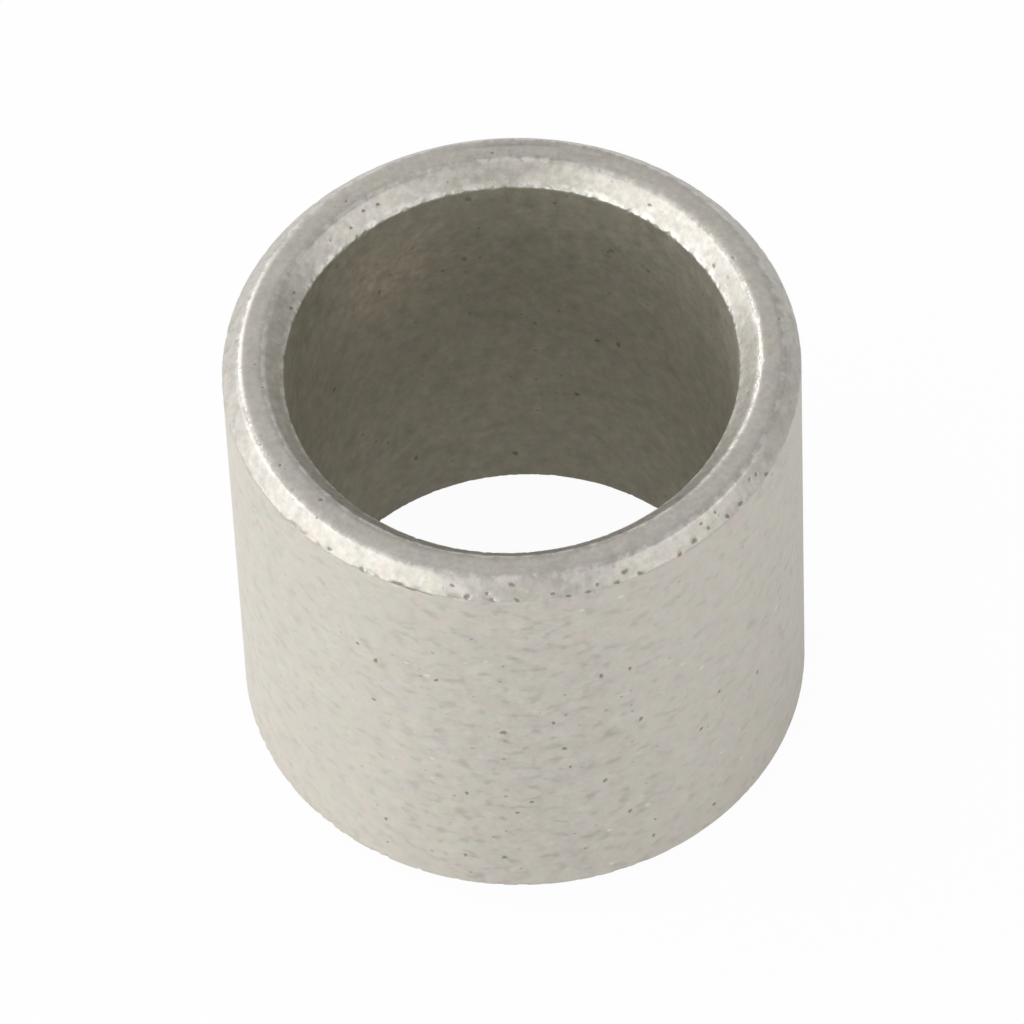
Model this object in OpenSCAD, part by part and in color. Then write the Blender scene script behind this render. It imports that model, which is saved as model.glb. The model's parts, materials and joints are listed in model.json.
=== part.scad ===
// Pivot bushing: a plain one-piece sleeve of pressed and sintered iron.
// It is turned about +Z and stands on its lower end, with the origin at that end's centre.
// All sizes are in millimetres.

/* [Sleeve] */
// Outside diameter, which presses into the pivot's housing
outside_d = 22.225; // [21:0.005:30]
// Bore diameter, in which the pivot pin turns
bore_d = 17.4625; // [12:0.0025:18.7]
// Length from one end face to the other
length = 20.6375; // [4:0.0025:60]

/* [Lead-in at the outer edge of each end] */
// How far the outer lead-in takes the end face inwards, across the wall
outer_lead_width = 0.65; // [0.2:0.01:1.3]
// How far the outer lead-in runs along the outside
outer_lead_depth = 0.8; // [0.2:0.01:3]

/* [Lead-in at the mouth of each bore end] */
// How far the mouth's lead-in takes the end face outwards, across the wall
mouth_lead_width = 0.8; // [0.2:0.01:1.5]
// How far the mouth's lead-in runs down the bore
mouth_lead_depth = 0.9; // [0.2:0.01:3]

/* [Edges] */
// Radius worn on both edges of each end's flat land
land_edge_radius = 0.5; // [0.05:0.01:0.6]
// Radius worn on the edges of the outside wall and of the bore
wall_edge_radius = 0.15; // [0.02:0.01:0.3]

/* [Hidden] */

$fa = 2;
$fs = 0.05;

outside_r = outside_d / 2;
bore_r = bore_d / 2;
land_outer_r = outside_r - outer_lead_width;
land_inner_r = bore_r + mouth_lead_width;

// How far each lead-in turns down from the land
outer_turn = atan(outer_lead_depth / outer_lead_width);
mouth_turn = atan(mouth_lead_depth / mouth_lead_width);

// Flat width that is left on the land, however narrow the wall is
least_flat = 0.05;
widest_round = (land_outer_r - land_inner_r - least_flat) / (tan(outer_turn / 2) + tan(mouth_turn / 2));
land_round = min(land_edge_radius, widest_round);

// Corners of the wall's section, as [radius, height], once round from the lower land
section_corners = [
    [land_inner_r, 0],
    [land_outer_r, 0],
    [outside_r, outer_lead_depth],
    [outside_r, length - outer_lead_depth],
    [land_outer_r, length],
    [land_inner_r, length],
    [bore_r, length - mouth_lead_depth],
    [bore_r, mouth_lead_depth]
];

// Radius worn on each of those corners: the two of a land, then the two of a wall, twice over
land_then_wall = [land_round, land_round, wall_edge_radius, wall_edge_radius];
corner_rounds = concat(land_then_wall, land_then_wall);

// Direction from one point of the section to another
function heading(from, to) = (to - from) / norm(to - from);

// What the worn edge loses at one corner: the kite up to the arc's centre, less the arc's circle
module lost_at_corner(before, corner, after, edge_radius) {
    back = heading(corner, before);
    ahead = heading(corner, after);
    half_angle = acos(back * ahead) / 2;
    setback = edge_radius / tan(half_angle);
    arc_centre = heading([0, 0], back + ahead) * edge_radius / sin(half_angle);
    translate(corner)
        difference() {
            polygon([[0, 0], back * setback, arc_centre, ahead * setback]);
            translate(arc_centre) circle(r = edge_radius);
        }
}

// The wall's section, with every corner worn round
module wall_section() {
    count = len(section_corners);
    difference() {
        polygon(section_corners);
        for (i = [0 : count - 1])
            lost_at_corner(
                section_corners[(i + count - 1) % count],
                section_corners[i],
                section_corners[(i + 1) % count],
                corner_rounds[i]
            );
    }
}

// The sleeve, turned from its section in one piece
module bushing() {
    color([0.68, 0.67, 0.64])
        rotate_extrude()
            wall_section();
}

bushing();
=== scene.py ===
"""Pivot bushing: a plain sleeve of pressed and sintered iron.

The sleeve is one closed mesh, with the pits, nicks and worn edges of the real one.
It stands on its end in a pale studio.
"""

import json
import math
from collections import namedtuple

import bpy
import numpy as np
from mathutils import Euler, Matrix, Vector, geometry, noise


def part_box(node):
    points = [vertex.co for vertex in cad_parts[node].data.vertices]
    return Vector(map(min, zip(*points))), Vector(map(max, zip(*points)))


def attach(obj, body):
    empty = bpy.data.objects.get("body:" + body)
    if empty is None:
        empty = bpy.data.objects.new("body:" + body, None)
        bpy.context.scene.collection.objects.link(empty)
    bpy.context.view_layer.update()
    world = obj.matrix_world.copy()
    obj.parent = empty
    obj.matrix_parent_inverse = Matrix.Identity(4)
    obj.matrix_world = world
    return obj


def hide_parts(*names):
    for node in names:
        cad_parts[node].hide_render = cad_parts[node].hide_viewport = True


bl_info = {
    "name": "Pivot bushing",
    "version": (1, 0, 0),
    "blender": (4, 5, 0),
    "location": "View3D > Sidebar > Bushing",
    "description": "Makes a sintered iron pivot bushing and a pale studio for it",
    "category": "Object",
}

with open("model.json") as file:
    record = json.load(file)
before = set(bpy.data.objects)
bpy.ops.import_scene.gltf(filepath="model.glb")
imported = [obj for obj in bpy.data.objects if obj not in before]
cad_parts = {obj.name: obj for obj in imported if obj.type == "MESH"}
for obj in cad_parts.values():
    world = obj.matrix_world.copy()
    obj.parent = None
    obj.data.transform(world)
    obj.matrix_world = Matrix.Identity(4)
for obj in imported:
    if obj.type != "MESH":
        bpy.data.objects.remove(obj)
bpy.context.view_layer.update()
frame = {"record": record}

NODE = "bushing"
BODY = "root"
SLOT = "sintered_iron"
PIECE = "sleeve"

MM = 0.001
FULL_TURN = 2 * math.pi
node_low, node_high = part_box(NODE)
mounts = {mount["name"]: mount["dims"] for mount in frame["record"]["mounts"]}


# Properties


def size_property(name, description, default):
    """A length that the user may set, in metres."""
    return bpy.props.FloatProperty(
        name=name, description=description, default=default, precision=5, unit="LENGTH"
    )


def angle_property(name, description, degrees):
    """An angle that the user may set."""
    return bpy.props.FloatProperty(
        name=name, description=description, default=math.radians(degrees), unit="ROTATION"
    )


def number_property(name, description, default):
    """A plain number that the user may set."""
    return bpy.props.FloatProperty(name=name, description=description, default=default, min=0)


def share_property(name, description, default):
    """A number from 0 to 1 that the user may set."""
    return bpy.props.FloatProperty(
        name=name, description=description, default=default, min=0, max=1, subtype="FACTOR"
    )


def colour_property(name, description, default):
    """A colour that the user may set, as linear red, green and blue."""
    return bpy.props.FloatVectorProperty(
        name=name, description=description, default=default, min=0, max=1, size=3, subtype="COLOR"
    )


class BushingSizes(bpy.types.PropertyGroup):
    """Sizes of the sleeve's wall and its edges."""

    outside: size_property("Outside diameter", "Over the wall", 2 * MM * mounts["outside"]["r_mm"])
    bore: size_property("Bore diameter", "Of the hole", 2 * MM * mounts["bore"]["r_mm"])
    length: size_property("Length", "From end face to end face", node_high.z - node_low.z)
    outer_lead_width: size_property("Outer lead-in width", "Across the wall", 0.65 * MM)
    outer_lead_depth: size_property("Outer lead-in depth", "Along the outside", 0.8 * MM)
    mouth_lead_width: size_property("Mouth lead-in width", "Across the wall", 0.8 * MM)
    mouth_lead_depth: size_property("Mouth lead-in depth", "Down the bore", 0.9 * MM)
    land_edge: size_property("Land edge radius", "Worn on both edges of each land", 0.5 * MM)
    wall_edge: size_property("Wall edge radius", "Worn on the wall's and the bore's edges", 0.15 * MM)


class MetalFinish(bpy.types.PropertyGroup):
    """Colours and gloss of the sintered metal."""

    wall: colour_property("Wall metal", "The outside, rubbed smooth", (0.64, 0.608, 0.546))
    lead: colour_property("Lead-in metal", "The lead-ins, as they were pressed", (0.54, 0.514, 0.465))
    land: colour_property("Land metal", "The flat rings of the ends", (0.5, 0.474, 0.428))
    # The bore's darker colour is partly its oiling and partly painted shade for its shadowed inside.
    bore: colour_property("Bore metal", "The bore, darkened by oil", (0.535, 0.507, 0.425))
    pore: colour_property("Pores", "The bottoms of pores and pits", (0.16, 0.145, 0.115))
    # Also the colour of the painted highlights on the crests of the land's edges and on the bore's lip.
    fleck_and_highlight: colour_property("Flecks", "Grains that were rubbed bright", (0.8, 0.78, 0.74))
    # Painted reflection: the colour of a pale brownish patch of mirrored light, painted high in the bore.
    painted_reflection: colour_property("Bloom", "The brown bloom in the bore", (0.72, 0.635, 0.52))
    tint: share_property("Tint", "How far small patches differ in colour", 0.045)
    metallic: share_property("Metallic", "The rest is matt, from light lost among the grains", 0.55)
    bore_metallic: share_property("Bore metallic", "Of the bore, which the shaft rubbed bare", 0.9)
    end_roughness: share_property("End roughness", "Of the ends and their lead-ins", 0.4)
    wall_roughness: share_property("Wall roughness", "Of the outside and the bore", 0.56)


class WearMarks(bpy.types.PropertyGroup):
    """Pits in the metal, and grains lost along its edges."""

    wall_pits: number_property("Pits on the walls", "In a square centimetre", 9)
    end_pits: number_property("Pits on the ends", "In a square centimetre", 32)
    small_pit: size_property("Smallest pit", "Radius", 0.035 * MM)
    large_pit: size_property("Largest pit", "Radius", 0.09 * MM)
    wall_chip: size_property("Wall chips", "Size of the chips along the wall's edges", 0.5 * MM)
    bore_chip: size_property("Bore chips", "Size of the chips along the bore's edges", 0.2 * MM)
    chip_reach: size_property("Chip reach", "How far from the edge it is chipped", 0.16 * MM)
    chip_depth: share_property("Chip depth", "As a share of a chip's size", 0.3)
    struck_side: angle_property("Struck side", "Where the wall's edges are chipped most", -125)


class Studio(bpy.types.PropertyGroup):
    """Light, floor and view."""

    floor: colour_property("Floor", "Colour of the pale floor", (0.85, 0.85, 0.85))
    floor_white: share_property("Floor white", "How far the camera sees the floor as plain white", 0.96)
    floor_shine: share_property("Floor shine", "How far the metal mirrors the floor as plain white", 0.15)
    room: number_property("Room", "Brightness of the room, where 1 is white", 0.65)
    room_left: number_property("Room, left", "How much brighter the room is on the left", 0.36)
    room_back: number_property("Room, back", "How much brighter the room is at the back", 0.05)
    key: number_property("Key lamp", "Brightness of the long lamp on the left, where 1 is white", 1.65)
    fill: number_property("Fill lamp", "Brightness of the lamp at the front right", 1.95)
    edge: number_property("Edge lamp", "Brightness of the small lamp at the back left", 3.6)
    elevation: angle_property("View elevation", "How far the view looks down", 53.93)
    roll: angle_property("View roll", "Turn of the picture", -2.69)
    distance: size_property("View distance", "From the camera to the aim", 425.9 * MM)
    aim_side: size_property("Aim to the side", "From the axis", -0.244 * MM)
    aim_height: size_property("Aim height", "Above the floor", 10.37 * MM)
    lens: number_property("Lens", "Focal length in millimetres", 383.6)


# The wall's section

# The faces that follow the section's corners in turn.
FACES = ("lead", "wall", "lead", "land", "lead", "bore", "lead", "land")

# How many points a row of the skin has, and the step between rows, on the ends and on the long walls.
# A straight run longer than LONG_RUN counts as a long wall.
# Rows round a land's edge lie further apart than half a column, so that no triangle skips a row.
RIM_COLUMNS = 500
WALL_COLUMNS = 220
RIM_STEP = 0.2 * MM
WALL_STEP = 0.55 * MM
LONG_RUN = 2 * MM
ARC_STEP = math.radians(13)

# Closer rows along the sharper edges, which are ragged.
EDGE_COLUMNS = 1000
EDGE_ROWS = 8
EDGE_STEP = 0.05 * MM

Spot = namedtuple("Spot", "place out edge before after blend")
Station = namedtuple("Station", "along radius height out_r out_z edge lead wall bore columns")


def section_corners(sizes):
    """Corners of the section as (radius, height), with their worn radius, from the lower land on."""
    outside_r = sizes.outside / 2
    bore_r = sizes.bore / 2
    land_outer_r = outside_r - sizes.outer_lead_width
    land_inner_r = bore_r + sizes.mouth_lead_width
    top = sizes.length
    return [
        (Vector((land_outer_r, 0)), sizes.land_edge),
        (Vector((outside_r, sizes.outer_lead_depth)), sizes.wall_edge),
        (Vector((outside_r, top - sizes.outer_lead_depth)), sizes.wall_edge),
        (Vector((land_outer_r, top)), sizes.land_edge),
        (Vector((land_inner_r, top)), sizes.land_edge),
        (Vector((bore_r, top - sizes.mouth_lead_depth)), sizes.wall_edge),
        (Vector((bore_r, sizes.mouth_lead_depth)), sizes.wall_edge),
        (Vector((land_inner_r, 0)), sizes.land_edge),
    ]


def worn_corner(before, corner, after, radius):
    """Points and outward directions along the arc that rounds one corner."""
    back = (before - corner).normalized()
    ahead = (after - corner).normalized()
    half_angle = back.angle(ahead) / 2
    centre = corner + (back + ahead).normalized() * radius / math.sin(half_angle)
    first = (corner + back * radius / math.tan(half_angle) - centre).normalized()
    turn = math.pi - 2 * half_angle
    steps = 2 * math.ceil(turn / ARC_STEP / 2)
    arc = []
    for step in range(steps + 1):
        out = first.copy()
        out.rotate(Matrix.Rotation(turn * step / steps, 2))
        arc.append((centre + out * radius, out, step / steps))
    return arc


def section_spots(sizes):
    """Once round the section, from the middle of the lower land: the points of each corner's arc."""
    corners = section_corners(sizes)
    places = [place for place, _ in corners]
    middle = (places[-1] + places[0]) / 2
    down = Vector((0, -1))
    spots = [Spot(middle, down, 0, "land", "land", 0)]
    for i, (corner, radius) in enumerate(corners):
        following = places[(i + 1) % len(places)]
        for place, out, share in worn_corner(places[i - 1], corner, following, radius):
            edge = math.sin(math.pi * share)
            spots.append(Spot(place, out, edge, FACES[i - 1], FACES[i], share))
    spots.append(spots[0])
    return spots


def face_share(spot, face):
    """How far a spot belongs to a face: 1 on it, falling to 0 across the arc at its edge."""
    return (spot.before == face) * (1 - spot.blend) + (spot.after == face) * spot.blend


def section_stations(sizes):
    """Rows of the skin once round the section, closer together at the ends than on the long walls."""
    spots = section_spots(sizes)
    stations = []
    along = 0
    for spot, after in zip(spots, spots[1:]):
        run = (after.place - spot.place).length
        on_wall = run > LONG_RUN
        steps = math.ceil(run / (WALL_STEP if on_wall else RIM_STEP))
        for step in range(steps):
            stations.append(
                Station(
                    along + run * step / steps,
                    *spot.place.lerp(after.place, step / steps),
                    *spot.out,
                    spot.edge,
                    face_share(spot, "lead"),
                    face_share(spot, "wall"),
                    face_share(spot, "bore"),
                    WALL_COLUMNS if on_wall and step else RIM_COLUMNS,
                )
            )
        along += run
    stations.append(stations[0]._replace(along=along))
    return stations


# Pits, nicks and grains lost at the edges

Pit = namedtuple("Pit", "angle along length width turn depth dark phase")

SQUARE_CM = 0.01**2
SEED = 11

# How a mark shows: as dark as a pore, or as pale as a fleck.
DARK = 1
PALE = -1

# A placed pit: its length and depth as shares of its width, the way it lies, and how far it strays.
PIT_STRETCH = 1.3
PIT_DEPTH = 0.25
UPRIGHT = math.pi / 2
PIT_SWAY = 0.4

# Rings of mesh points round each pit: how far out, as a share of its size, and how many points.
PIT_RINGS = ((0.4, 6), (0.8, 9), (1.3, 9))

# Chips are noise: how fast its finer layers fade, how much finer each is, and how dark the deepest chip is.
CHIP_FADE = 0.8
CHIP_FINER = 2.0
CHIP_DARK = 0.4

# The faces on which marks are placed: the section's corners where each begins and ends.
MARKED_FACES = {
    "wall": (1, 2),
    "outer lead-in": (2, 3),
    "land": (3, 4),
    "mouth": (4, 5),
    "bore": (5, 6),
}

# Pits that stand out on each face: angle in degrees, distance across the face and radius in millimetres.
# The distance runs up the wall, in over the lead-in and the land, and down the mouth and the bore.
MARKED_PITS = {
    "wall": (
        (-95, 10.4, 0.17),
        (-75, 13.4, 0.14),
        (-121, 13.4, 0.15),
        (-108, 13.4, 0.12),
        (-122, 10.7, 0.12),
        (-125, 14.0, 0.1),
        (-121, 2.7, 0.13),
        (-104, 1.8, 0.11),
        (-96, 1.9, 0.13),
        (-93, 5.0, 0.11),
        (-103, 6.1, 0.12),
        (-90, 5.7, 0.11),
        (-83, 9.1, 0.13),
        (-85, 10.9, 0.11),
        (-69, 13.3, 0.12),
        (-75, 6.4, 0.13),
        (-82, 7.8, 0.1),
        (-67, 9.7, 0.13),
        (-70, 3.8, 0.13),
        (-65, 1.5, 0.12),
        (-53, 6.9, 0.12),
        (-48, 8.5, 0.1),
        (-50, 1.2, 0.12),
        (-36, 7.2, 0.13),
    ),
    "outer lead-in": (
        (-92, 0.69, 0.13),
        (-101, 0.12, 0.15),
        (-104, 0.5, 0.09),
        (-97, 0.33, 0.09),
        (-96, 0.05, 0.13),
        (-91, 0.07, 0.13),
        (-84, 0.2, 0.1),
        (-81, 0.02, 0.12),
        (-77, 0.02, 0.12),
        (-75, 0.23, 0.09),
        (-69, 0.38, 0.14),
        (-71, 0.07, 0.11),
        (-66, 0.08, 0.13),
        (-57, 0.06, 0.11),
        (-53, 0.23, 0.14),
        (-44, 0.16, 0.12),
        (-40, 0.16, 0.14),
        (-31, 0.06, 0.13),
        (-123, 0.06, 0.14),
        (-131, 0.15, 0.11),
        (-46, 0.62, 0.08),
        (-50, 0.62, 0.08),
        (-49, 0.29, 0.09),
        (-33, 0.43, 0.09),
        (-35, 0.54, 0.08),
    ),
    "land": (
        (-139, 0.58, 0.11),
        (-152, 0.31, 0.08),
        (128, 0.61, 0.08),
        (92, 0.65, 0.08),
    ),
    "mouth": (
        (28, 0.79, 0.1),
        (52, 0.57, 0.09),
        (-13, 0.51, 0.09),
        (126, 0.42, 0.08),
        (122, 0.5, 0.08),
        (131, 0.7, 0.07),
        (155, 0.69, 0.09),
        (159, 0.88, 0.11),
    ),
    "bore": (
        (99, 0.5, 0.17),
        (101, 4.2, 0.17),
        (125, 4.2, 0.13),
        (67, 9.2, 0.15),
        (61, 9.0, 0.14),
        (73, 13.1, 0.13),
        (90, 17.4, 0.16),
        (117, 16.1, 0.14),
        (62, 3.0, 0.14),
        (143, 7.9, 0.13),
    ),
}


def column(stations, name):
    """One value of every station."""
    return np.array([getattr(station, name) for station in stations])


def along_at(stations, radius, height):
    """Distance along the section of the spot of the skin nearest to a radius and height."""
    along = column(stations, "along")
    tries = 20 * len(stations)
    fine = np.linspace(0, along[-1], tries)
    off_r = np.interp(fine, along, column(stations, "radius")) - radius
    off_h = np.interp(fine, along, column(stations, "height")) - height
    return fine[np.argmin(off_r**2 + off_h**2)]


def scattered_pits(stations, wear, rng):
    """Pits over the whole skin, closer together on the ends than on the walls."""
    pits = []
    for station, after in zip(stations, stations[1:]):
        area = (after.along - station.along) * math.pi * (station.radius + after.radius)
        on_wall = WALL_COLUMNS in (station.columns, after.columns)
        expected = (wear.wall_pits if on_wall else wear.end_pits) * area / SQUARE_CM
        near_border = min(station.along, stations[-1].along - after.along) < 2 * wear.large_pit
        count = 0 if near_border else int(expected) + (rng.random() < expected % 1)
        for _ in range(count):
            width = wear.small_pit * (wear.large_pit / wear.small_pit) ** (rng.random() ** 1.5)
            pits.append(
                Pit(
                    angle=rng.uniform(-math.pi, math.pi),
                    along=rng.uniform(station.along, after.along),
                    length=width * rng.uniform(1, 1.7),
                    width=width,
                    turn=rng.uniform(0, math.pi),
                    depth=width * rng.uniform(0.15, 0.35),
                    dark=rng.uniform(0.3, 0.8),
                    phase=rng.uniform(0, FULL_TURN),
                )
            )
    return pits


def ragged_edges(stations):
    """Where along the section the edges of the outside wall and the bore are: the middles of their arcs."""
    return [s.along for s in stations if s.edge > 0.99 and s.wall + s.bore > 0]


def ragged_points(stations):
    """Extra points of the unrolled skin, which give the sharper edges room to be ragged."""
    points = []
    step = FULL_TURN / EDGE_COLUMNS
    for crest in ragged_edges(stations):
        for row in range(EDGE_ROWS):
            along = crest + (row + 0.5 - EDGE_ROWS / 2) * EDGE_STEP
            stagger = 0.25 + 0.5 * (row % 2)
            points += [(-math.pi + (i + stagger) * step, along) for i in range(EDGE_COLUMNS)]
    return points


def edge_losses(places, along, stations, wear):
    """How deep each point lies in the chips along the sharper edges, which are rougher on the wall."""
    reach = np.min([np.abs(along - crest) for crest in ragged_edges(stations)], axis=0)
    losses = np.zeros_like(along)
    middle = stations[0].radius
    for i in np.flatnonzero(reach < 2.5 * wear.chip_reach):
        place = Vector(places[i])
        on_wall = place.xy.length > middle
        size = wear.wall_chip if on_wall else wear.bore_chip
        octaves = 2 if on_wall else 1
        chip = max(0, noise.fractal(place / size, CHIP_FADE, CHIP_FINER, octaves))
        if on_wall:
            facing = max(0, math.cos(math.atan2(place.y, place.x) - wear.struck_side))
            chip *= 0.2 + 0.8 * facing**2
        losses[i] = chip * wear.chip_depth * size * math.exp(-((reach[i] / wear.chip_reach) ** 2))
    return losses


def round_pit(angle, along, size, lean, rng):
    """A placed pit, a little longer than wide, and leaning about as far as given."""
    turn = lean + rng.uniform(-PIT_SWAY, PIT_SWAY)
    phase = rng.uniform(0, FULL_TURN)
    return Pit(math.radians(angle), along, PIT_STRETCH * size, size, turn, PIT_DEPTH * size, DARK, phase)


def cut(angle, along, length, width, turn, depth, dark):
    """A nick, chip or scratch, from degrees, and half its length and width and its depth in millimetres."""
    return Pit(math.radians(angle), along, length * MM, width * MM, turn, depth * MM, dark, 0)


def placed_marks(stations, sizes, rng):
    """The pits that stand out, the nick below the outer lead-in, and the pale chips and scratches."""
    corners = [place for place, _ in section_corners(sizes)]

    def across(face, distance):
        first, last = (corners[i] for i in MARKED_FACES[face])
        return along_at(stations, *(first + (last - first).normalized() * distance * MM))

    marks = []
    for face, pits in MARKED_PITS.items():
        lean = UPRIGHT if face in ("wall", "bore") else 0
        for angle, distance, size in pits:
            marks.append(round_pit(angle, across(face, distance), size * MM, lean, rng))
    marks += [
        cut(-115.3, across("outer lead-in", 0.03), 0.32, 0.13, 0.1, 0.09, DARK),
        cut(-111.5, across("outer lead-in", -0.02), 0.8, 0.08, -0.05, 0.04, DARK),
        cut(-110.7, across("outer lead-in", 0.4), 0.3, 0.07, 1.4, 0.01, PALE),
        cut(178.4, across("outer lead-in", 0.28), 0.15, 0.1, 0.5, 0.02, PALE),
        cut(-45, across("land", 0.16), 0.2, 0.07, 0.8, 0.01, PALE),
        cut(7.4, across("mouth", 0.06), 0.24, 0.17, 0.3, 0.03, PALE),
        cut(-4.9, across("mouth", 0), 0.24, 0.12, 0.2, 0.03, PALE),
        cut(-8.7, across("mouth", 0.05), 0.16, 0.1, 0.1, 0.02, PALE),
        cut(-12.3, across("mouth", 0.05), 0.16, 0.1, 0, 0.02, PALE),
        cut(178, across("mouth", 0.12), 0.36, 0.09, 0.75, 0.02, PALE),
        cut(97, across("bore", 0.62), 0.15, 0.12, 0, 0.02, PALE),
    ]
    return marks


def pit_points(pit, radius):
    """Extra points of the unrolled skin that give one pit its rim and bowl."""
    points = [(pit.angle, pit.along)]
    cos_turn = math.cos(pit.turn)
    sin_turn = math.sin(pit.turn)
    for reach, count in PIT_RINGS:
        for i in range(count):
            a = FULL_TURN * (i + reach) / count
            u = pit.length * reach * math.cos(a)
            v = pit.width * reach * math.sin(a)
            angle = pit.angle + (u * cos_turn - v * sin_turn) / radius
            points.append((wrapped(angle), pit.along + u * sin_turn + v * cos_turn))
    return points


def wrapped(angle):
    """Angles brought into the half turn on either side of zero."""
    return (angle + math.pi) % FULL_TURN - math.pi


def pit_depths(angle, along, radius, pits):
    """How deep each point lies in the marks, and how dark it is there: 1 is darkest, -1 palest."""
    depth = np.zeros_like(angle)
    dark = np.zeros_like(angle)
    for pit in pits:
        near = np.flatnonzero(np.abs(along - pit.along) < 2 * pit.length)
        du = wrapped(angle[near] - pit.angle) * radius[near]
        dv = along[near] - pit.along
        cos_turn = math.cos(pit.turn)
        sin_turn = math.sin(pit.turn)
        off_long = (du * cos_turn + dv * sin_turn) / pit.length
        off_wide = (dv * cos_turn - du * sin_turn) / pit.width
        # Two lobes and three make the rim uneven, and the bowl has a small flat floor.
        round_it = np.arctan2(off_wide, off_long)
        swell = 1 + 0.2 * np.cos(2 * round_it + pit.phase) + 0.12 * np.cos(3 * round_it - 2 * pit.phase)
        bowl = np.clip(1.2 - 1.2 * np.hypot(off_long, off_wide) / swell, 0, 1)
        depth[near] = np.maximum(depth[near], bowl * pit.depth)
        dark[near] += bowl * pit.dark
    return depth, np.clip(dark, -1, 1)


# The sleeve's mesh


def unrolled_points(stations, pits):
    """Points of the skin laid flat: angle round the sleeve, and distance along the section."""
    points = []
    for row, station in enumerate(stations):
        step = FULL_TURN / station.columns
        stagger = 0 if station is stations[-1] else 0.5 * (row % 2)
        points += [(-math.pi, station.along), (math.pi, station.along)]
        points += [(-math.pi + (i + stagger) * step, station.along) for i in range(station.columns)]
    along = column(stations, "along")
    radius = column(stations, "radius")
    for pit in pits:
        points += pit_points(pit, np.interp(pit.along, along, radius))
    return points + ragged_points(stations)


def triangulated(points, radius):
    """The flat points joined into triangles: their coordinates, and three indices for each triangle."""
    flat = [Vector((angle * radius, along)) for angle, along in points]
    verts, _, faces, *_ = geometry.delaunay_2d_cdt(flat, [], [], 0, 1e-9, False)
    verts = np.array(verts)
    verts[:, 0] /= radius
    return verts, np.array(faces)


def shade_smooth(mesh, places, faces):
    """Shades the skin smooth. Each face counts by its area, so that slivers leave no mark."""
    a, b, c = (places[faces[:, i]] for i in range(3))
    outward = np.cross(b - a, c - a)
    normals = np.zeros_like(places)
    for i in range(3):
        np.add.at(normals, faces[:, i], outward)
    normals /= np.linalg.norm(normals, axis=1, keepdims=True)
    mesh.polygons.foreach_set("use_smooth", np.ones(len(faces), bool))
    mesh.normals_split_custom_set_from_vertices(normals.tolist())


def sleeve_mesh(sizes, wear):
    """The sleeve's skin: unrolled, triangulated, pitted and rolled up into one closed mesh."""
    rng = np.random.default_rng(SEED)
    stations = section_stations(sizes)
    pits = placed_marks(stations, sizes, rng)
    pits += scattered_pits(stations, wear, rng)
    flat, faces = triangulated(unrolled_points(stations, pits), sizes.outside / 2)
    angle = flat[:, 0]
    along = flat[:, 1]

    def at_points(name):
        return np.interp(along, column(stations, "along"), column(stations, name))

    def rolled_up(depth):
        radius = at_points("radius") - at_points("out_r") * depth
        height = at_points("height") - at_points("out_z") * depth
        return np.column_stack((radius * np.cos(angle), radius * np.sin(angle), height))

    depth, dark = pit_depths(angle, along, at_points("radius"), pits)
    lost = edge_losses(rolled_up(0), along, stations, wear)
    places = rolled_up(np.maximum(depth, lost))
    dark = np.maximum(dark, CHIP_DARK * lost / lost.max())

    # The flat sheet's borders meet on the round sleeve, so their points are made one.
    spread = np.column_stack((angle / FULL_TURN + 0.5, along / stations[-1].along))
    spots = np.round(spread, 7) % 1
    _, first, same = np.unique(spots, axis=0, return_index=True, return_inverse=True)
    closed = same.reshape(-1)[faces]

    mesh = bpy.data.meshes.new(PIECE)
    mesh.from_pydata(places[first].tolist(), [], closed.tolist())
    shares = {name: at_points(name) for name in ("edge", "lead", "wall", "bore")}
    for name, values in {"pit": dark, **shares}.items():
        layer = mesh.attributes.new(name, "FLOAT", "POINT")
        layer.data.foreach_set("value", values[first].astype(np.float32))
    sheet = mesh.uv_layers.new(name="OFBake")
    sheet.uv.foreach_set("vector", spread[faces.reshape(-1)].astype(np.float32).ravel())
    shade_smooth(mesh, places[first], closed)
    mesh.update()
    return mesh


# Node trees from expressions


class Flow:
    """One value in a node tree. Arithmetic on it adds Math nodes."""

    def __init__(self, graph, socket):
        self.graph = graph
        self.socket = socket

    def other(self, name):
        """Another output of the same node."""
        return Flow(self.graph, self.socket.node.outputs[name])

    def __add__(self, value):
        return self.graph.maths("ADD", self, value)

    def __radd__(self, value):
        return self.graph.maths("ADD", value, self)

    def __sub__(self, value):
        return self.graph.maths("SUBTRACT", self, value)

    def __rsub__(self, value):
        return self.graph.maths("SUBTRACT", value, self)

    def __mul__(self, value):
        return self.graph.maths("MULTIPLY", self, value)

    def __rmul__(self, value):
        return self.graph.maths("MULTIPLY", value, self)


def named_socket(sockets, name):
    """A socket by its place, its identifier or its name."""
    if isinstance(name, int):
        return sockets[name]
    return next(socket for socket in sockets if name in (socket.identifier, socket.name))


# Width of a dot's soft rim, as a share of its cell.
SOFT_RIM = 0.12


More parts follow.
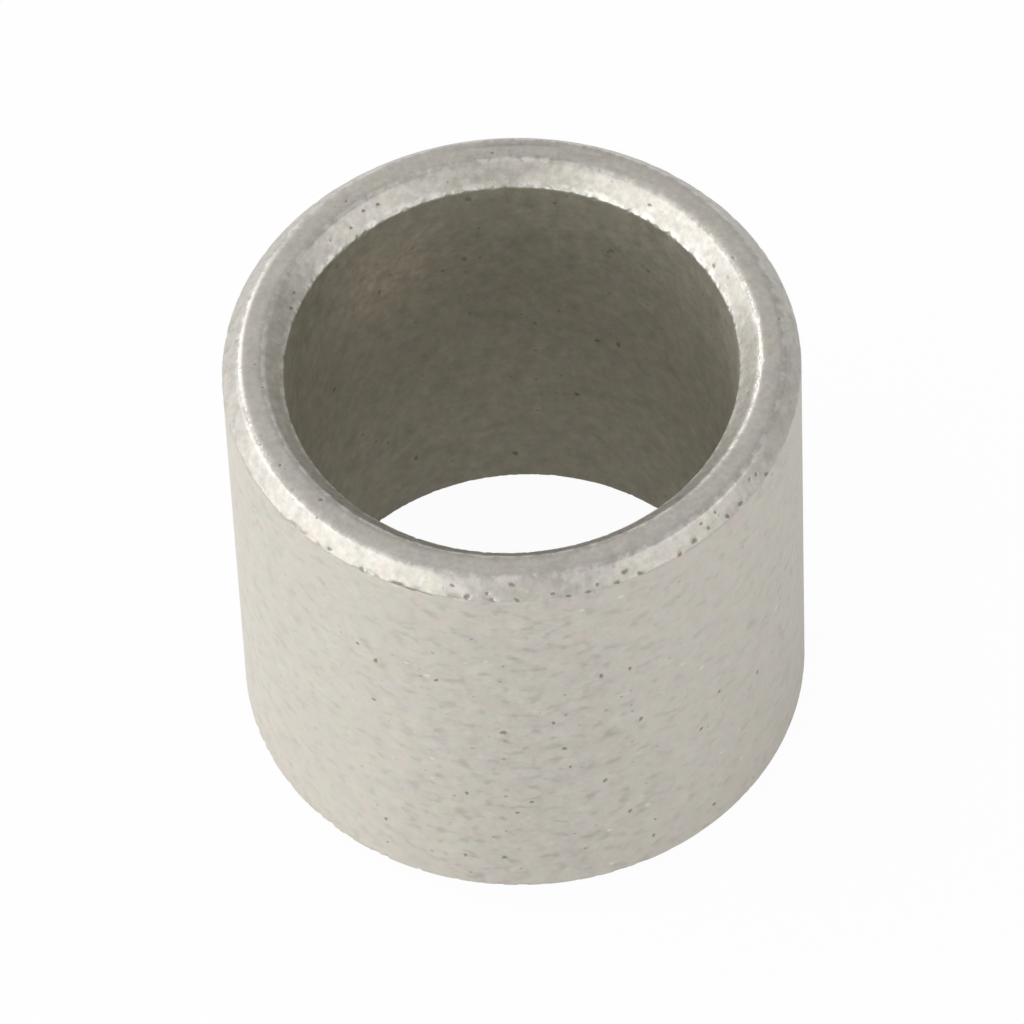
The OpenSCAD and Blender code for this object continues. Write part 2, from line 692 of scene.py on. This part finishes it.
class Graph:
    """A node tree that is filled from Python expressions."""

    def __init__(self, tree):
        self.tree = tree
        tree.nodes.clear()

    def node(self, kind, settings=None, sockets=None, output=0):
        """Adds a node, sets it up, then fills or links its sockets, and gives one of its outputs."""
        made = self.tree.nodes.new(kind)
        for name, value in (settings or {}).items():
            setattr(made, name, value)
        for name, value in (sockets or {}).items():
            socket = named_socket(made.inputs, name)
            if isinstance(value, Flow):
                self.tree.links.new(value.socket, socket)
            else:
                socket.default_value = value
        return Flow(self, named_socket(made.outputs, output)) if made.outputs else None

    def maths(self, operation, *values):
        """One Math node on the given values."""
        return self.node("ShaderNodeMath", {"operation": operation}, dict(enumerate(values)))

    def between(self, value, low, high):
        """Rises smoothly from 0 at low to 1 at high."""
        return self.node(
            "ShaderNodeMapRange",
            {"interpolation_type": "SMOOTHSTEP"},
            {"Value": value, "From Min": low, "From Max": high},
        )

    def mix(self, factor, a, b):
        """Colour a, turning into colour b."""
        return self.node(
            "ShaderNodeMix",
            {"data_type": "RGBA"},
            {"Factor_Float": factor, "A_Color": a, "B_Color": b},
            "Result_Color",
        )

    def scaled(self, vector, factor):
        """A colour or vector times one number."""
        values = {"Vector": vector, "Scale": factor}
        return self.node("ShaderNodeVectorMath", {"operation": "SCALE"}, values)

    def times(self, vector, factors):
        """A colour or vector times another, part by part."""
        return self.node("ShaderNodeVectorMath", {"operation": "MULTIPLY"}, {0: vector, 1: factors})

    def share(self, name):
        """One of the mesh's own values."""
        return self.node("ShaderNodeAttribute", {"attribute_name": name}, output="Fac")

    def noise(self, place, size, detail=2.0, roughness=0.5):
        """Clouds of about the given size in metres, around 0.5."""
        return self.node(
            "ShaderNodeTexNoise",
            None,
            {"Vector": place, "Scale": 1 / size, "Detail": detail, "Roughness": roughness},
        )

    def dots(self, place, spacing, smallest, largest):
        """Round dots in some of the cells of the given size, 1 in the middle and 0 outside.

        A dot's radius is a share of its cell, picked between smallest and largest.
        Where it falls below 0, the cell stays bare.
        """
        cells = {"Vector": place, "Scale": 1 / spacing}
        distance = self.node("ShaderNodeTexVoronoi", None, cells, "Distance")
        chance = self.node("ShaderNodeSeparateColor", None, {"Color": distance.other("Color")})
        reach = {"Value": chance, "To Min": smallest, "To Max": largest}
        limit = self.node("ShaderNodeMapRange", None, reach)
        return self.between(limit - distance, 0.0, SOFT_RIM)

    def near(self, place, spot, reach):
        """1 at a spot, falling to 0 at the reach around it."""
        ends = {0: place, 1: spot}
        distance = self.node("ShaderNodeVectorMath", {"operation": "DISTANCE"}, ends, "Value")
        return 1 - self.between(distance, 0.0, reach)

    def length(self, vector):
        """How long a vector is."""
        return self.node("ShaderNodeVectorMath", {"operation": "LENGTH"}, {0: vector}, "Value")


def rgba(colour):
    """A colour with full alpha, as colour sockets take it."""
    return (*colour, 1.0)


def round_the_axis(degrees, radius, height):
    """A point at an angle round the axis."""
    angle = math.radians(degrees)
    return Vector((radius * math.cos(angle), radius * math.sin(angle), height))


# Finishes


def sintered_iron(finish, sizes):
    """Pale pressed metal with faint patches, dark pores, bright flecks, a darker oily bore, painted
    highlights on its edges, and painted light and shade in the bore and mouth.
    """
    material = bpy.data.materials.new(SLOT)
    material.use_nodes = True
    graph = Graph(material.node_tree)
    place = graph.node("ShaderNodeTexCoord", output="Object")
    depthways = graph.node("ShaderNodeSeparateXYZ", None, {"Vector": place}, "Y")
    from_axis = graph.length(graph.times(place, (1, 1, 0)))
    bore_r = sizes.bore / 2
    mouth_r = bore_r + sizes.mouth_lead_width
    land_r = (mouth_r + sizes.outside / 2 - sizes.outer_lead_width) / 2

    # Patterns of the pressed grains
    hues = graph.noise(place, 0.9 * MM, 1.0).other("Color")
    mottle = graph.noise(place, 0.8 * MM, 3.0, 0.75)
    blotches = graph.noise(place, 0.45 * MM, 2.0, 0.6)
    grain = graph.noise(place, 0.24 * MM, 2.0, 0.6)
    stains = graph.dots(place, 0.9 * MM, -0.6, 0.2)
    pores = graph.dots(place, 0.5 * MM, -0.45, 0.25)
    lying = graph.times(place, (1, 1, 1.5))
    flakes = graph.noise(lying, 0.65 * MM, 1.0)
    flecks = graph.dots(lying, 0.75 * MM, -0.9, 0.24)

    # Faces and edges
    edge = graph.share("edge")
    wall_share = graph.share("wall")
    bore_share = graph.share("bore")
    lead_share = graph.share("lead")
    in_bore = graph.between(bore_share, 0.6, 0.95)
    on_walls = graph.between(wall_share + bore_share, 0.3, 0.9)
    outside = on_walls * (1 - in_bore)
    on_ends = 1 - on_walls
    lead = graph.between(lead_share + 0.8 * grain, 0.75, 1.05)
    land = on_ends * (1 - lead)
    mouth = (1 - graph.between(from_axis, mouth_r - 0.08 * MM, mouth_r + 0.42 * MM)) * on_ends
    lip = mouth * (1 - graph.between(from_axis, bore_r + 0.09 * MM, bore_r + 0.25 * MM))
    crest = edge * graph.between(lead_share, 0.2, 0.7) * (1 - graph.between(wall_share, 0.0, 0.05))
    # Painted highlights: pale beads of light along the crests of the land's edges and along the bore's lip.
    crest_highlights = graph.maths("MAXIMUM", crest, lip) * (0.15 + 0.55 * graph.between(blotches, 0.45, 0.58))

    # Traces of use, and painted light and shade
    # A broad patch on the front of the wall, darker and more thickly marked.
    flattened = graph.times(place, (1, 1, 0.3))
    front_patch = graph.near(flattened, round_the_axis(-90, sizes.outside / 2, 3 * MM), 8 * MM)
    handled = 0.6 + 0.6 * front_patch
    dashes = graph.between(flakes, 0.5, 0.8) * outside * handled
    # Painted shade on the mouth's near side, towards the camera.
    near_side_shade = graph.between(-1 * depthways, 2 * MM, 8 * MM)
    soot = graph.near(place, round_the_axis(84, land_r, sizes.length), 5 * MM)
    turned = graph.node("ShaderNodeCombineXYZ", None, {"X": 2.5 * from_axis, "Y": depthways})
    streaks = graph.between(graph.noise(turned, 0.8 * MM, 1.0), 0.4, 0.7)
    dull_land = land * (0.04 * streaks + soot * (0.05 + 0.2 * streaks))
    # The mouth: a little lighter as a whole, with painted shade on its near side and soot at its back.
    mouth_shade_and_soot = mouth * (0.25 * near_side_shade + 0.08 * soot - 0.05)
    # Painted reflection: a pale brownish patch high in the bore, at 122 degrees.
    painted_reflection = graph.near(place, round_the_axis(122, bore_r, 16 * MM), 4.5 * MM) * in_bore
    # Painted shade: two darker patches high in the bore, at the back and on the left.
    shade_at_back = graph.near(place, round_the_axis(88, bore_r, 16 * MM), 8 * MM)
    shade_on_left = graph.near(place, round_the_axis(165, bore_r, 18 * MM), 6 * MM)
    oil_and_shade = (shade_at_back + shade_on_left) * in_bore
    mark = graph.share("pit")
    pitted = graph.between(mark + 0.5 * (grain - 0.5), 0.1, 0.7) * (0.65 - 0.15 * in_bore)
    scraped = graph.between(-1 * mark, 0.1, 0.8)

    # Colour
    metal = graph.mix(lead, rgba(finish.land), rgba(finish.lead))
    metal = graph.mix(on_walls, metal, rgba(finish.wall))
    metal = graph.mix(in_bore, metal, rgba(finish.bore))
    metal = graph.times(metal, graph.mix(finish.tint, (1, 1, 1, 1), graph.scaled(hues, 2.0)))
    # The painted reflection in the bore, broken up by blotches.
    metal = graph.mix(painted_reflection * blotches, metal, rgba(finish.painted_reflection))
    clouds = (mottle - 0.5) * (0.35 * handled + 0.1 * on_ends + 0.35 * in_bore)
    patches = (blotches - 0.5) * (0.2 * on_ends + 0.3 * lead + 0.4 * in_bore)
    specks = (grain - 0.5) * (0.1 + 0.3 * on_ends + 0.15 * mouth)
    # Darker with soot, streaks and the front patch, and with the painted shade in the bore and on the
    # mouth.
    dirt_and_shade = 0.1 * front_patch * on_walls + 0.12 * oil_and_shade + mouth_shade_and_soot + dull_land
    metal = graph.scaled(metal, 1.0 + clouds + patches + specks - dirt_and_shade)
    metal = graph.mix(0.6 * flecks * outside, metal, rgba(finish.fleck_and_highlight))
    # The painted highlights on the crests and the lip.
    metal = graph.mix(crest_highlights, metal, rgba(finish.fleck_and_highlight))
    dotted = (0.35 * pores + 0.2 * stains) * (handled + 0.6 * in_bore) + 0.25 * dashes
    metal = graph.mix(dotted, metal, rgba(finish.pore))
    metal = graph.mix(pitted, metal, rgba(finish.pore))
    metal = graph.mix(scraped, metal, rgba(finish.fleck_and_highlight))

    # Relief and gloss
    relief = (0.25 + 0.5 * lead) * grain + 0.8 * blotches * lead - 0.4 * pores - 0.3 * dashes
    bump = {"Strength": 1.0, "Distance": 0.01 * MM, "Height": relief}
    roughness = finish.end_roughness + (finish.wall_roughness - finish.end_roughness) * on_walls
    shader = graph.node(
        "ShaderNodeBsdfPrincipled",
        None,
        {
            "Base Color": metal,
            "Metallic": finish.metallic + (finish.bore_metallic - finish.metallic) * in_bore,
            "Roughness": roughness + 0.2 * pitted + 0.1 * (mottle - 0.5) - 0.12 * edge,
            "Normal": graph.node("ShaderNodeBump", None, bump),
        },
    )
    graph.node("ShaderNodeOutputMaterial", None, {"Surface": shader})
    return material


def pale_floor(studio):
    """A pale floor that shows nearly white, and keeps the sleeve's shadow there and in the metal."""
    material = bpy.data.materials.new("pale_floor")
    material.use_nodes = True
    material.cycles.emission_sampling = "NONE"
    graph = Graph(material.node_tree)
    camera = graph.node("ShaderNodeLightPath", output="Is Camera Ray")
    glossy = camera.other("Is Glossy Ray")
    bounced = graph.maths("MAXIMUM", glossy, camera.other("Is Transmission Ray"))
    white_share = graph.maths("MAXIMUM", studio.floor_white * camera, studio.floor_shine * bounced)
    matt = graph.node("ShaderNodeBsdfDiffuse", None, {"Color": rgba(studio.floor)})
    white = graph.node("ShaderNodeEmission", None, {"Color": (1, 1, 1, 1), "Strength": 1.0})
    surface = graph.node("ShaderNodeMixShader", None, {0: white_share, 1: matt, 2: white})
    graph.node("ShaderNodeOutputMaterial", None, {"Surface": surface})
    return material


def pale_world(studio):
    """A plain pale room, brighter on the left."""
    world = bpy.data.worlds.new("pale_world")
    world.use_nodes = True
    graph = Graph(world.node_tree)
    direction = graph.node("ShaderNodeTexCoord", output="Generated")
    x = graph.node("ShaderNodeSeparateXYZ", None, {"Vector": direction}, "X")
    strength = studio.room - studio.room_left * x + studio.room_back * x.other("Y")
    surface = graph.node("ShaderNodeBackground", None, {"Color": (1, 1, 1, 1), "Strength": strength})
    graph.node("ShaderNodeOutputWorld", None, {"Surface": surface})
    return world


# Operators


class BUSHING_OT_sleeve(bpy.types.Operator):
    """Makes the sleeve in its sintered finish, in place of the plain solid"""

    bl_idname = "bushing.sleeve"
    bl_label = "Make the sleeve"

    def execute(self, context):
        settings = context.scene.bushing
        sleeve = bpy.data.objects.new(PIECE, sleeve_mesh(settings.sizes, settings.wear))
        context.scene.collection.objects.link(sleeve)
        sleeve.data.materials.append(sintered_iron(settings.finish, settings.sizes))
        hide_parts(NODE)
        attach(sleeve, BODY)
        return {"FINISHED"}


# Where each lamp hangs, as azimuth and elevation in degrees, and its width and height in metres.
LAMPS = {
    "key": (-157, 22, 0.9, 0.28),
    "fill": (-33, 25, 0.5, 0.15),
    "edge": (128, 39, 0.15, 0.13),
}

# Metres from the middle to the lamps and to the floor's sides, and the film's width in millimetres.
LAMP_DISTANCE = 0.45
FLOOR_HALF = 3.0
FILM_WIDTH = 36


class BUSHING_OT_stage(bpy.types.Operator):
    """Makes the floor, the light and the camera"""

    bl_idname = "bushing.stage"
    bl_label = "Set the stage"

    def execute(self, context):
        scene = context.scene
        studio = scene.bushing.studio
        scene.view_settings.view_transform = "Standard"
        scene.world = pale_world(studio)
        self.lay_floor(scene, studio)
        for name, spread in LAMPS.items():
            self.hang_lamp(scene, name, *spread, getattr(studio, name))
        self.place_camera(scene, studio)
        return {"FINISHED"}

    def lay_floor(self, scene, studio):
        """A flat pale sheet under the sleeve."""
        half = FLOOR_HALF
        corners = [(-half, -half, 0), (half, -half, 0), (half, half, 0), (-half, half, 0)]
        mesh = bpy.data.meshes.new("floor")
        mesh.from_pydata(corners, [], [(0, 1, 2, 3)])
        floor = bpy.data.objects.new("floor", mesh)
        mesh.materials.append(pale_floor(studio))
        scene.collection.objects.link(floor)

    def hang_lamp(self, scene, name, azimuth, elevation, width, height, brightness):
        """A soft lamp that faces the sleeve, as bright as the given number of whites."""
        data = bpy.data.lights.new(name + "_lamp", "AREA")
        data.shape = "RECTANGLE"
        data.size = width
        data.size_y = height
        data.energy = math.pi * width * height * brightness
        lamp = bpy.data.objects.new(name + "_lamp", data)
        aim = Euler((0, -math.radians(elevation), math.radians(azimuth)))
        towards = aim.to_matrix() @ Vector((1, 0, 0))
        lamp.location = towards * LAMP_DISTANCE
        lamp.rotation_euler = towards.to_track_quat("Z", "Y").to_euler()
        lamp.visible_camera = False
        scene.collection.objects.link(lamp)

    def place_camera(self, scene, studio):
        """A long lens that looks down on the sleeve from the front."""
        data = bpy.data.cameras.new("camera")
        data.lens = studio.lens
        data.sensor_width = FILM_WIDTH
        data.clip_start = 10 * MM
        camera = bpy.data.objects.new("camera", data)
        aim = Vector((studio.aim_side, 0, studio.aim_height))
        back = Vector((0, -math.cos(studio.elevation), math.sin(studio.elevation)))
        camera.location = aim + back * studio.distance
        upright = back.to_track_quat("Z", "Y")
        camera.rotation_euler = (upright @ Euler((0, 0, studio.roll)).to_quaternion()).to_euler()
        scene.collection.objects.link(camera)
        scene.camera = camera


class BushingSettings(bpy.types.PropertyGroup):
    """All that a user may change."""

    sizes: bpy.props.PointerProperty(type=BushingSizes)
    finish: bpy.props.PointerProperty(type=MetalFinish)
    wear: bpy.props.PointerProperty(type=WearMarks)
    studio: bpy.props.PointerProperty(type=Studio)


class BUSHING_PT_panel(bpy.types.Panel):
    """Lists the bushing's settings and operators"""

    bl_idname = "BUSHING_PT_panel"
    bl_label = "Pivot bushing"
    bl_space_type = "VIEW_3D"
    bl_region_type = "UI"
    bl_category = "Bushing"

    def draw(self, context):
        settings = context.scene.bushing
        for group in (settings.sizes, settings.finish, settings.wear, settings.studio):
            box = self.layout.box()
            for name in group.bl_rna.properties.keys():
                if name not in ("rna_type", "name"):
                    box.prop(group, name)
        for operator in (BUSHING_OT_sleeve, BUSHING_OT_stage):
            self.layout.operator(operator.bl_idname)


CLASSES = (
    BushingSizes,
    MetalFinish,
    WearMarks,
    Studio,
    BushingSettings,
    BUSHING_OT_sleeve,
    BUSHING_OT_stage,
    BUSHING_PT_panel,
)


def register():
    for cls in CLASSES:
        bpy.utils.register_class(cls)
    bpy.types.Scene.bushing = bpy.props.PointerProperty(type=BushingSettings)


def unregister():
    del bpy.types.Scene.bushing
    for cls in reversed(CLASSES):
        bpy.utils.unregister_class(cls)


def main():
    """Makes the pieces in order."""
    register()
    bpy.ops.bushing.sleeve()
    bpy.ops.bushing.stage()


if __name__ == "__main__":
    main()
